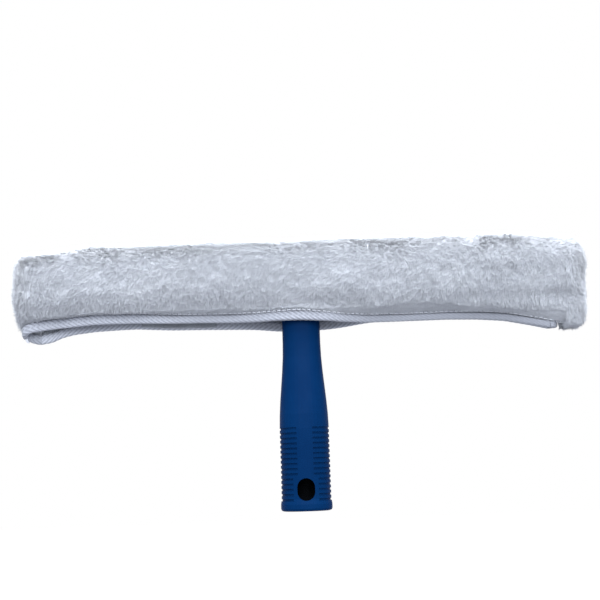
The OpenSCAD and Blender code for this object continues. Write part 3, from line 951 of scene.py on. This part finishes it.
def pile_tree():
    tree, given, keys = start_tree("plant_pile", [
        ("Density", "NodeSocketFloat", 2.0e6),
        ("Lock", "NodeSocketObject", None),
        ("Unruliness", "NodeSocketFloat", 0.12),
        ("Shortest", "NodeSocketFloat", 0.72),
        ("Longest", "NodeSocketFloat", 1.18),
        ("Seed", "NodeSocketInt", 3),
    ])
    inputs = {"Mesh": given["Geometry"], "Density": given["Density"], "Seed": given["Seed"]}
    scatter = add_node(tree, "GeometryNodeDistributePointsOnFaces", inputs)
    inputs = {"Name": "lay"}
    lay = add_node(tree, "GeometryNodeInputNamedAttribute", inputs, data_type="FLOAT_VECTOR")
    inputs = {"Min": (-1, -1, -1), "Max": (1, 1, 1), "Seed": given["Seed"]}
    chance = add_node(tree, "FunctionNodeRandomValue", inputs, data_type="FLOAT_VECTOR")
    inputs = {0: chance.outputs["Value"], "Scale": given["Unruliness"]}
    stray = add_node(tree, "ShaderNodeVectorMath", inputs, operation="SCALE")
    inputs = {0: lay.outputs["Attribute"], 1: stray.outputs["Vector"]}
    toward = add_node(tree, "ShaderNodeVectorMath", inputs, operation="ADD")
    inputs = {"Vector": toward.outputs["Vector"]}
    align = add_node(tree, "FunctionNodeAlignRotationToVector", inputs, axis="Z")
    inputs = {"Min": 0, "Max": 2 * math.pi}
    angle = add_node(tree, "FunctionNodeRandomValue", inputs, data_type="FLOAT")
    axis = add_node(tree, "ShaderNodeCombineXYZ", {"Z": angle.outputs["Value"]})
    spin = add_node(tree, "FunctionNodeEulerToRotation", {"Euler": axis.outputs["Vector"]})
    inputs = {"Rotation": align.outputs["Rotation"], "Rotate By": spin.outputs["Rotation"]}
    turned = add_node(tree, "FunctionNodeRotateRotation", inputs, rotation_space="LOCAL")
    depth = add_node(tree, "GeometryNodeInputNamedAttribute", {"Name": "pile"}, data_type="FLOAT")
    inputs = {"Min": given["Shortest"], "Max": given["Longest"]}
    grown = add_node(tree, "FunctionNodeRandomValue", inputs, data_type="FLOAT")
    inputs = {0: depth.outputs["Attribute"], 1: grown.outputs["Value"]}
    height = add_node(tree, "ShaderNodeMath", inputs, operation="MULTIPLY")
    size = add_node(tree, "ShaderNodeCombineXYZ", {"X": 1, "Y": 1, "Z": height.outputs[0]})
    lock = add_node(tree, "GeometryNodeObjectInfo", {"Object": given["Lock"]})
    plant = add_node(tree, "GeometryNodeInstanceOnPoints", {
        "Points": scatter.outputs["Points"],
        "Instance": lock.outputs["Geometry"],
        "Rotation": turned.outputs["Rotation"],
        "Scale": size.outputs[0],
    })
    end_tree(tree, plant.outputs["Instances"], plush)
    return tree, keys


plant_pile, pile_keys = pile_tree()
print("pile tree has", len(plant_pile.nodes), "nodes")

# %% [markdown]
# ## Planting in quarters
# Some hundred thousand locks are too many for one piece, so each side of the roll is cut in
# four along its length and each end is planted by itself. The cuts don't show, because the
# locks lie across them and their lay is stored on the whole cloth before it is cut.

# %% Plant the pile
LOCK_DENSITY = 2.7e6


def part_of(piece, name, keep):
    """A copy of a cloth with only the faces whose middle passes the test."""
    copy = add_object(name, piece.data.copy())
    shell = bmesh.new()
    shell.from_mesh(copy.data)
    gone = [f for f in shell.faces if not keep(f.calc_center_median() / MM)]
    bmesh.ops.delete(shell, geom=gone, context="FACES")
    shell.to_mesh(copy.data)
    shell.free()
    return copy


def grow(cloth, name, seed, lock, density):
    """Plants locks on a cloth, which is used up."""
    values = {"Density": density, "Lock": lock, "Seed": seed}
    return run_tree(cloth, name, plant_pile, pile_keys, values)


QUARTERS = {"far_left": (-999, -0.5), "mid_left": (-0.5, 0), "mid_right": (0, 0.5), "far_right": (0.5, 999)}
piles = {}
for side, cloth in (("front", front_plush), ("back", back_plush)):
    for label, (start, stop) in QUARTERS.items():
        strip = part_of(cloth, "cloth_strip", lambda c: start * FLAP_HALF <= c.x < stop * FLAP_HALF)
        name = f"{side}_{label}_pile"
        piles[name] = grow(strip, name, len(piles) + 3, one_lock, LOCK_DENSITY)
for label, cloth in (("left_end", left_end), ("right_end", right_end)):
    whole = part_of(cloth, "cloth_strip", lambda c: True)
    name = f"{label}_pile"
    piles[name] = grow(whole, name, len(piles) + 3, one_lock, LOCK_DENSITY)
bpy.data.objects.remove(one_lock, do_unlink=True)
for name, pile in piles.items():
    pile.data.polygons.foreach_set("use_smooth", [True] * len(pile.data.polygons))
    print(name, len(pile.data.polygons), "faces")

# %% [markdown]
# ## The binding
# The slit's edge is bound with a twill tape, folded over the cloth and sewn. Its ribs are
# raised, and they are what the eye finds first under the plush, so they are real shape and
# not only colour. The tape's outline is a rounded bar, carried along the slit's rule, and each
# point moves in or out by where it lies on a slanting wave.

# %% Tape rule
RIB_PITCH = 3.2
RIB_SLANT = 1 / math.tan(math.radians(36))
RIB_HEIGHT = 0.42
CRISPNESS = [(-175, 0.8), (-95, 0.75), (-60, 0.4), (-22, 0.6), (0, 0.9), (18, 0.7), (50, 0.35), (175, 0.3)]
# Shift of the tape's rib tone along its length: lighter toward the left end, darker from the middle to the
# right; the back tape is a little lighter all along.
TAPE_TONE_ALONG = [
    (-175, 0.22), (-95, 0.20), (-65, -0.06), (-25, -0.08), (-6, -0.12), (8, -0.12), (30, -0.14),
    (175, -0.12),
]
BACK_CRISPNESS, BACK_TAPE_TONE = 0.6, 0.12
RIB_MEAN, RIB_BASE = 0.62, 0.6
TAPE_POINTS = 44
TAPE_STEP = 0.33
ROLL_UNDER = [(-175, 0), (-30, 0), (0, -0.15), (15, -0.05), (50, 0.3), (120, 0.42), (150, 0.3), (160, 0)]
crispness, tape_tone_along, roll_under = (smooth_line(rule, 20) for rule in (CRISPNESS, TAPE_TONE_ALONG, ROLL_UNDER))


def tape_ring():
    """The tape's outline from its upper inner corner, over the outer face and back up inside."""
    a = np.radians(np.linspace(150, -210, TAPE_POINTS, endpoint=False))
    ring = np.stack([
        (TAPE_T / 2) * signed_power(np.cos(a), 2 / 3.0),
        (TAPE_H / 2) * signed_power(np.sin(a), 2 / 3.4),
    ], 1)
    closed = np.concatenate([ring, ring[:1]])
    steps = np.concatenate([[0], np.cumsum(np.linalg.norm(np.diff(closed, axis=0), axis=1))])
    away = np.stack([np.cos(a), np.sin(a) * 0.6], 1)
    away /= np.linalg.norm(away, axis=1)[:, None]
    return ring, steps[:-1], away


def rib_wave(along, around):
    phase = (along - RIB_SLANT * around) / RIB_PITCH
    return np.abs(np.sin(math.pi * phase)) ** 0.8


def tape_points(xs, side):
    ring, around, away = tape_ring()
    points, ribs = [], []
    for x in xs:
        wobble = 0.25 * soft_noise(x / 17, 1.5 + side, 2)
        crisp, tone_shift, tilt = BACK_CRISPNESS, BACK_TAPE_TONE, 0.0
        if side < 0:
            crisp, tone_shift, tilt = crispness(x), tape_tone_along(x), roll_under(x)
        wave = RIB_MEAN + crisp * (rib_wave(x + 0.8 * soft_noise(x / 23, 4.5, 6), around) - RIB_MEAN)
        lift = (wave - RIB_BASE) * RIB_HEIGHT
        height = tape_height(x, side)
        across = ring[:, 0] + away[:, 0] * lift
        up = ring[:, 1] * height / TAPE_H + away[:, 1] * lift
        d = slit_gap(x) + TAPE_T / 2 + across * math.cos(tilt) + up * math.sin(tilt)
        z = edge_z(x, side) + height / 2 - across * math.sin(tilt) + up * math.cos(tilt) + wobble * 0.5
        points.append(np.stack([np.full(TAPE_POINTS, x), side * d, z], 1))
        ribs.append(wave + tone_shift)
    return np.array(points), np.array(ribs)


def close_ends(faces, rows, cols):
    return faces + [tuple(range(cols)), tuple((rows - 1) * cols + c for c in reversed(range(cols)))]


def make_tape(side):
    name = "front_tape" if side < 0 else "back_tape"
    xs = np.arange(-SLIT_HALF, TAPE_RIGHT_END + TAPE_STEP / 2, TAPE_STEP)
    points, ribs = tape_points(xs, side)
    faces = close_ends(grid_faces(len(xs), TAPE_POINTS, ring=True), len(xs), TAPE_POINTS)

    def core(c):
        middle = float(edge_z(c[0], side) + tape_height(c[0], side) / 2)
        return np.array([c[0], side * float(slit_gap(c[0]) + TAPE_T / 2), middle])

    piece = make_piece(name, points, faces, tape_cloth, core)
    store(piece, "rib", "FLOAT", ribs.ravel())
    return piece


front_tape = make_tape(-1)
back_tape = make_tape(1)
print(front_tape.name, len(front_tape.data.polygons), "faces")

# %% [markdown]
# ## The tape's turns
# Where the slit ends, the tape goes round from the front edge to the back edge. Its path seen
# from above is a straight leg, a half circle and a leg back, and the same outline and ribs
# are carried along it. On the left it hangs out past the slit, and darkens as it turns under.

# %% The tape's turn round each end of the slit
TURN_STEPS = 64
TURN_SHADE, TURN_SHADE_RATE = 0.45, 1.6
TURN_RADIUS = GAP_END + TAPE_T / 2


def turn_path(s, reach):
    """Place and outward way at distance s round the slit's end: a leg, a half circle, a leg."""
    a = (s - reach) / TURN_RADIUS - math.pi / 2
    if a < -math.pi / 2:
        return np.array([s, -TURN_RADIUS]), np.array([0.0, -1.0])
    if a > math.pi / 2:
        return np.array([2 * reach + math.pi * TURN_RADIUS - s, TURN_RADIUS]), np.array([0.0, 1.0])
    away = np.array([math.cos(a), math.sin(a)])
    return np.array([reach, 0]) + TURN_RADIUS * away, away


def make_turn(side, start, reach):
    name = "left_tape_turn" if side < 0 else "right_tape_turn"
    ring, around, away = tape_ring()
    length = 2 * reach + math.pi * TURN_RADIUS
    front_z, back_z = edge_z(side * start, -1), edge_z(side * start, 1)
    front_h = tape_height(side * start, -1)
    points, ribs, cores = [], [], []
    for s in np.linspace(0, length, TURN_STEPS):
        place, out = turn_path(s, reach)
        crisp = crispness(side * start)
        wave = RIB_MEAN + crisp * (rib_wave(side * (start + s), around) - RIB_MEAN)
        lift = (wave - RIB_BASE) * RIB_HEIGHT
        flat = place + out * (ring[:, 0] + away[:, 0] * lift)[:, None]
        low = front_z + (back_z - front_z) * ease(s / length)
        height = front_h + (TAPE_H - front_h) * ease(s / length)
        z = low + height / 2 + ring[:, 1] * height / TAPE_H + away[:, 1] * lift
        points.append(np.stack([side * (start + flat[:, 0]), flat[:, 1], z], 1))
        ribs.append(wave + tape_tone_along(side * start) - TURN_SHADE * ease(TURN_SHADE_RATE * s / length))
        cores.append([side * (start + place[0]), place[1], low + height / 2])
    faces = close_ends(grid_faces(TURN_STEPS, TAPE_POINTS, ring=True), TURN_STEPS, TAPE_POINTS)
    cores = np.array(cores)

    def core(c):
        return cores[np.argmin(np.linalg.norm(cores - c, axis=1))]

    piece = make_piece(name, points, faces, tape_cloth, core)
    store(piece, "rib", "FLOAT", np.array(ribs).ravel())
    return piece


left_turn = make_turn(-1, SLIT_HALF, LEFT_REACH)
right_turn = make_turn(1, TAPE_RIGHT_END, 0.0)
print(left_turn.name, len(left_turn.data.polygons), "faces")

# %% [markdown]
# ## The lining
# Inside, the sleeve shows the knitted back of the plush. It wraps the crossbar with a little
# room and runs down each flap to the binding. It is seen from below through the slit, and
# fully once the sleeve is drawn off.

# %% Lining
LINING_COLS = 30
POCKET_R = BAR_HALF + 0.4


def lining_outline(x, side):
    a = np.radians(np.linspace(90, 0, 14))
    arc = np.stack([POCKET_R * np.cos(a), BAR_TOP - BAR_HALF + POCKET_R * np.sin(a)], 1)
    neck = near_neck(x)
    low = np.array([
        [POCKET_R, FOLD_Z + 7.5],
        [BAR_HALF + 1.4 + 0.6 * neck, FOLD_Z + 4.2 - 0.8 * neck],
        [slit_gap(x) + TAPE_T / 2, edge_z(x, side) + tape_height(x, side) - 0.4],
    ])
    return np.concatenate([arc, low])


def make_lining(side):
    name = "front_lining" if side < 0 else "back_lining"
    xs = np.linspace(-FLAP_HALF, FLAP_HALF, 120)
    points = []
    for x in xs:
        line, _ = even_out(lining_outline(x, side), LINING_COLS)
        points.append(np.stack([np.full(LINING_COLS, x), side * line[:, 0], line[:, 1]], 1))
    points = np.array(points)
    piece = make_piece(name, points, grid_faces(len(xs), LINING_COLS), backing, roll_axis)
    piece.data.flip_normals()
    return piece


front_lining = make_lining(-1)
back_lining = make_lining(1)
print(front_lining.name, len(front_lining.data.polygons), "faces")

# %% [markdown]
# ## Hook and loop strips
# Two pairs of strips close the slit. Each is a thin woven band along the inner face of the
# binding. Hooks and loops are planted on it by the same tree that planted the pile, with a
# small bent hook or a small loose loop in place of the lock.

# %% One hook and one loop
HOOK_HEIGHT, HOOK_WIDTH, HOOK_THREAD = 0.62, 0.42, 0.16


def make_bent_thread(name, bend_points):
    """A thin three-sided thread carried through a few points."""
    line = np.array(bend_points, float)
    points = []
    for k, place in enumerate(line):
        along = line[min(k + 1, len(line) - 1)] - line[max(k - 1, 0)]
        along /= np.linalg.norm(along)
        wide = np.array([0.0, 1.0, 0.0])
        high = np.cross(along, wide)
        for turn in (90, 210, 330):
            a = math.radians(turn)
            points.append(place + (wide * math.cos(a) + high * math.sin(a)) * HOOK_THREAD / 2)
    faces = grid_faces(len(line), 3, ring=True)
    faces += [(2, 1, 0), tuple(len(points) - 3 + c for c in range(3))]
    return make_piece(name, points, faces, hook_nylon)


def hook_material():
    material, tree, shader, place = start_material("hook_nylon", (0.42, 0.44, 0.48), 0.5)
    weave = add_noise(tree, place, 1600, 2)
    tone = add_ramp(tree, weave, [(0.3, (0.34, 0.355, 0.39)), (0.7, (0.46, 0.48, 0.52))])
    set_inputs(tree, shader, {"Base Color": tone})
    add_bump(tree, shader, weave, 0.4, 0.0001)
    return material


hook_nylon = hook_material()
HOOK_BENDS = [(0, 0), (0, 0.7), (0.5, 1), (1, 0.8), (1, 0.55)]
LOOP_BENDS = [(0, 0), (0.2, 0.8), (1, 0.9), (1.3, 0.1)]
one_hook = make_bent_thread("one_hook", [(w * HOOK_WIDTH, 0, h * HOOK_HEIGHT) for w, h in HOOK_BENDS])
one_loop = make_bent_thread("one_loop", [(w * HOOK_WIDTH, 0, h * HOOK_HEIGHT) for w, h in LOOP_BENDS])
print("hook and loop:", len(one_hook.data.polygons), len(one_loop.data.polygons), "faces")

# %% [markdown]
# ## Four strips, two pairs
# Each strip follows the slit's rule along the inner face of its tape, hooks in front and
# loops behind. Only the face that looks at the other strip is planted.

# %% The four strips
STRIP_FROM, STRIP_TO = 52.0, 98.0
STRIP_T = 0.7
HOOK_DENSITY, LOOP_DENSITY = 1.6e6, 2.2e6


def strip_rows(side, low_x, high_x):
    """Outline points of a strip at each x: a thin band against the binding's inner face."""
    rows = []
    for x in np.linspace(low_x, high_x, 40):
        face = float(slit_gap(x)) + 0.15
        low = float(edge_z(x, side)) + 0.8
        high = low + min(4.2, float(tape_height(x, side)) - 1.4)
        inner = max(face - STRIP_T, 0.12)
        ring = [(face, low), (face, high), (inner, high), (inner, low)]
        corners = np.array([[side * d, z] for d, z in ring])
        ring, _ = even_out(np.concatenate([corners, corners[:1]]), 25)
        rows.append(np.concatenate([np.full((24, 1), x), ring[:-1]], 1))
    return np.array(rows)


def make_strip(label, end, side):
    name = f"{label}_fastener_{'hooks' if side < 0 else 'loops'}"
    low_x, high_x = (STRIP_FROM, STRIP_TO) if end > 0 else (-STRIP_TO, -STRIP_FROM)
    points = strip_rows(side, low_x, high_x)
    rows, cols = points.shape[:2]
    faces = close_ends(grid_faces(rows, cols, ring=True), rows, cols)
    centres = points.mean(axis=1)

    def core(c):
        return centres[np.argmin(np.abs(centres[:, 0] - c[0]))]

    piece = make_piece(name, points, faces, hook_nylon, core)
    store(piece, "lay", "FLOAT_VECTOR", np.tile([0.15, -side * 1.0, 0.1], (rows * cols, 1)))
    store(piece, "pile", "FLOAT", np.ones(rows * cols))
    facing = part_of(piece, "strip_face", lambda c: abs(c.y) < abs(centres[0][1]))
    thread_shape, density = (one_hook, HOOK_DENSITY) if side < 0 else (one_loop, LOOP_DENSITY)
    nap = grow(facing, name + "_nap", 40 + end + side, thread_shape, density)
    for index in range(len(nap.data.materials)):
        nap.data.materials[index] = hook_nylon
    return piece, nap


fasteners = {}
for end, label in ((-1, "left"), (1, "right")):
    for side in (-1, 1):
        fasteners[label, side] = make_strip(label, end, side)
for scratch in (one_hook, one_loop):
    bpy.data.objects.remove(scratch, do_unlink=True)
for piece, nap in fasteners.values():
    print(piece.name, len(piece.data.polygons), "faces, with", len(nap.data.polygons))

# %% [markdown]
# ## Stitches
# One seam holds the binding to the plush, and it shows as a row of short stitches just above
# the tape. A stitch is a small closed capsule, bent a little where it dips into the cloth.
# Geometry Nodes lays one at even steps along a line, turned the way the line runs.

# %% One stitch and its tree
STITCH_LENGTH, STITCH_STEP, STITCH_THICK = 2.2, 3.0, 0.5


def make_stitch():
    steps, round_points = 7, 6
    points = []
    for k in range(steps):
        t = k / (steps - 1) * 2 - 1
        thick = STITCH_THICK / 2 * (1 - 0.75 * t ** 4)
        for c in range(round_points):
            a = 2 * math.pi * c / round_points
            rise = math.sin(a) * thick - 0.35 * t * t
            points.append((t * STITCH_LENGTH / 2, math.cos(a) * thick, rise))
    faces = close_ends(grid_faces(steps, round_points, ring=True), steps, round_points)
    return make_piece("one_stitch", points, faces, thread, lambda c: np.array([c[0], 0, 0]))


def stitch_tree():
    tree, given, keys = start_tree("lay_stitches", [
        ("Step", "NodeSocketFloat", STITCH_STEP * MM),
        ("Stitch", "NodeSocketObject", None),
    ])
    line = add_node(tree, "GeometryNodeMeshToCurve", {"Mesh": given["Geometry"]})
    inputs = {"Curve": line.outputs["Curve"], "Length": given["Step"]}
    even = add_node(tree, "GeometryNodeResampleCurve", inputs, mode="LENGTH")
    tangent = add_node(tree, "GeometryNodeInputTangent")
    inputs = {"Vector": tangent.outputs["Tangent"]}
    align = add_node(tree, "FunctionNodeAlignRotationToVector", inputs, axis="X")
    stitch = add_node(tree, "GeometryNodeObjectInfo", {"Object": given["Stitch"]})
    lay = add_node(tree, "GeometryNodeInstanceOnPoints", {
        "Points": even.outputs["Curve"],
        "Instance": stitch.outputs["Geometry"],
        "Rotation": align.outputs["Rotation"],
    })
    end_tree(tree, lay.outputs["Instances"], thread)
    return tree, keys


one_stitch = make_stitch()
lay_stitches, stitch_keys = stitch_tree()
print("stitch has", len(one_stitch.data.polygons), "faces")

# %% [markdown]
# ## The two seams
# A seam is a line of points just above the tape and a little behind its face, at the same
# rule of height as the tape, so it can't drift from it. The tree turns the line into stitches.

# %% The two seams
SEAM_BACK, SEAM_UP = 1.9, 0.15
SEAM_STEP = 1.5


def make_seam(side):
    name = "front_seam" if side < 0 else "back_seam"
    xs = np.arange(-SLIT_HALF + 2, TAPE_RIGHT_END, SEAM_STEP)
    points = [
        (x, side * (slit_gap(x) + TAPE_T + SEAM_BACK), edge_z(x, side) + tape_height(x, side) + SEAM_UP)
        for x in xs
    ]
    mesh = bpy.data.meshes.new("seam_line")
    steps = [(k, k + 1) for k in range(len(points) - 1)]
    mesh.from_pydata((np.array(points) * MM).tolist(), steps, [])
    values = {"Step": STITCH_STEP * MM, "Stitch": one_stitch}
    return run_tree(add_object("seam_line", mesh), name, lay_stitches, stitch_keys, values)


front_seam = make_seam(-1)
back_seam = make_seam(1)
bpy.data.objects.remove(one_stitch, do_unlink=True)
print(front_seam.name, len(front_seam.data.polygons), "faces")

# %% [markdown]
# ## Bar tacks
# A bar tack is a few dense stitches across the end of a slit that keep it from tearing. It is
# a flat bar with a ripple for its threads, and it follows the turn of the tape.

# %% Bar tacks
TACK_REACH, TACK_WIDE, TACK_HIGH, TACK_PITCH = 3.0, 1.8, 0.6, 0.55
TACK_IN, TACK_UP = 0.6, 1.1


def make_tack(side, start, reach):
    """A dense band of thread across the slit's end, under the binding's turn."""
    name = "left_tack" if side < 0 else "right_tack"
    front_z, back_z = float(edge_z(side * start, -1)), float(edge_z(side * start, 1))
    rows, cols = 97, 14
    points = []
    for k in range(rows):
        t = k / (rows - 1) * 2 - 1
        y = t * TACK_REACH
        x = side * (start + reach - TACK_IN + math.sqrt(TURN_RADIUS ** 2 - y ** 2))
        slim = max(0.1, 1 - t ** 8) * (0.82 + 0.18 * abs(math.sin(math.pi * y / TACK_PITCH)))
        low = front_z + (back_z - front_z) * float(ease((t + 1) / 2)) + TACK_UP
        for c in range(cols):
            a = 2 * math.pi * c / cols
            wide, high = TACK_WIDE / 2 * slim, TACK_HIGH / 2 * slim
            points.append((x + math.cos(a) * wide, y, low + math.sin(a) * high))
    faces = close_ends(grid_faces(rows, cols, ring=True), rows, cols)
    lows = np.array(points).reshape(rows, cols, 3).mean(axis=1)
    return make_piece(name, points, faces, thread, lambda c: lows[np.argmin(np.abs(lows[:, 1] - c[1]))])


left_tack = make_tack(-1, SLIT_HALF, LEFT_REACH)
right_tack = make_tack(1, TAPE_RIGHT_END, 0.0)
print(left_tack.name, len(left_tack.data.polygons), "faces")

# %% [markdown]
# ## Each piece on its body
# The sleeve slides up off the crossbar and its flaps turn out as it goes. Cloth that crosses
# the fold keeps its place and rides no body; what lies on one side of it rides that body alone.
# Each soft piece then takes the place of the plain solid that stands for it in the frame.


def bend(piece):
    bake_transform(piece)


for side, flap, cloth, lining, tape, label in (
    (-1, "front_flap", front_plush, front_lining, front_tape, "front"),
    (1, "back_flap", back_plush, back_lining, back_tape, "back"),
):
    bend(cloth)
    bend(lining)
    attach(tape, flap)
    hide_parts(f"{label}_binding")
    for place in QUARTERS:
        pile = piles[f"{label}_{place}_pile"]
        bend(pile)
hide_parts("plush_cover", "front_flap")
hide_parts("plush_cover", "back_flap")
for label, end, turn in (("left", left_end, left_turn), ("right", right_end, right_turn)):
    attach(end, "sleeve")
    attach(turn, "sleeve")
    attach(piles[f"{label}_end_pile"], "sleeve")
    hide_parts(f"{label}_end_panel")
    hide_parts(f"{label}_binding_turn")
for label, tack in (("left", left_tack), ("right", right_tack)):
    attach(tack, "sleeve")
    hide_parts(f"{label}_bar_tack")
for (label, side), (band, nap) in fasteners.items():
    flap, kind = ("front_flap", "hook") if side < 0 else ("back_flap", "loop")
    for piece in (band, nap):
        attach(piece, flap)
    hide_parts(f"{label}_{kind}_strip")
for seam, flap in ((front_seam, "front_flap"), (back_seam, "back_flap")):
    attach(seam, flap)

# %% [markdown]
# ## The cloth's cut width
# The width that the cloth was cut to is measured along the outline, as a tape measure laid on
# the cloth would, so it stays true when a size changes.

# %% The cloth's cut width
MEASURE_X = -60.0
cloth_width = even_out(half_outline(MEASURE_X, -1), ROLL_COLS)[1]
for cloth, lining, tape, seam, label in (
    (front_plush, front_lining, front_tape, front_seam, "front"),
    (back_plush, back_lining, back_tape, back_seam, "back"),
):
    lining_width = even_out(lining_outline(MEASURE_X, -1), LINING_COLS)[1]
print("cloth is cut", round(cloth_width, 1), "mm wide on each side")

# %% [markdown]
# ## Size of the dressed tool
# The dressed tool should fill about the same box as the plain one, give or take the nap of the
# pile, so the growth of the box at its high corner is printed.

# %% Size of the dressed tool
seen_low, seen_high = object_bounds()
grown = [round((a - b) / MM, 1) for a, b in zip(seen_high, cad_high)]
print("box grew by", grown, "mm at the high corner")
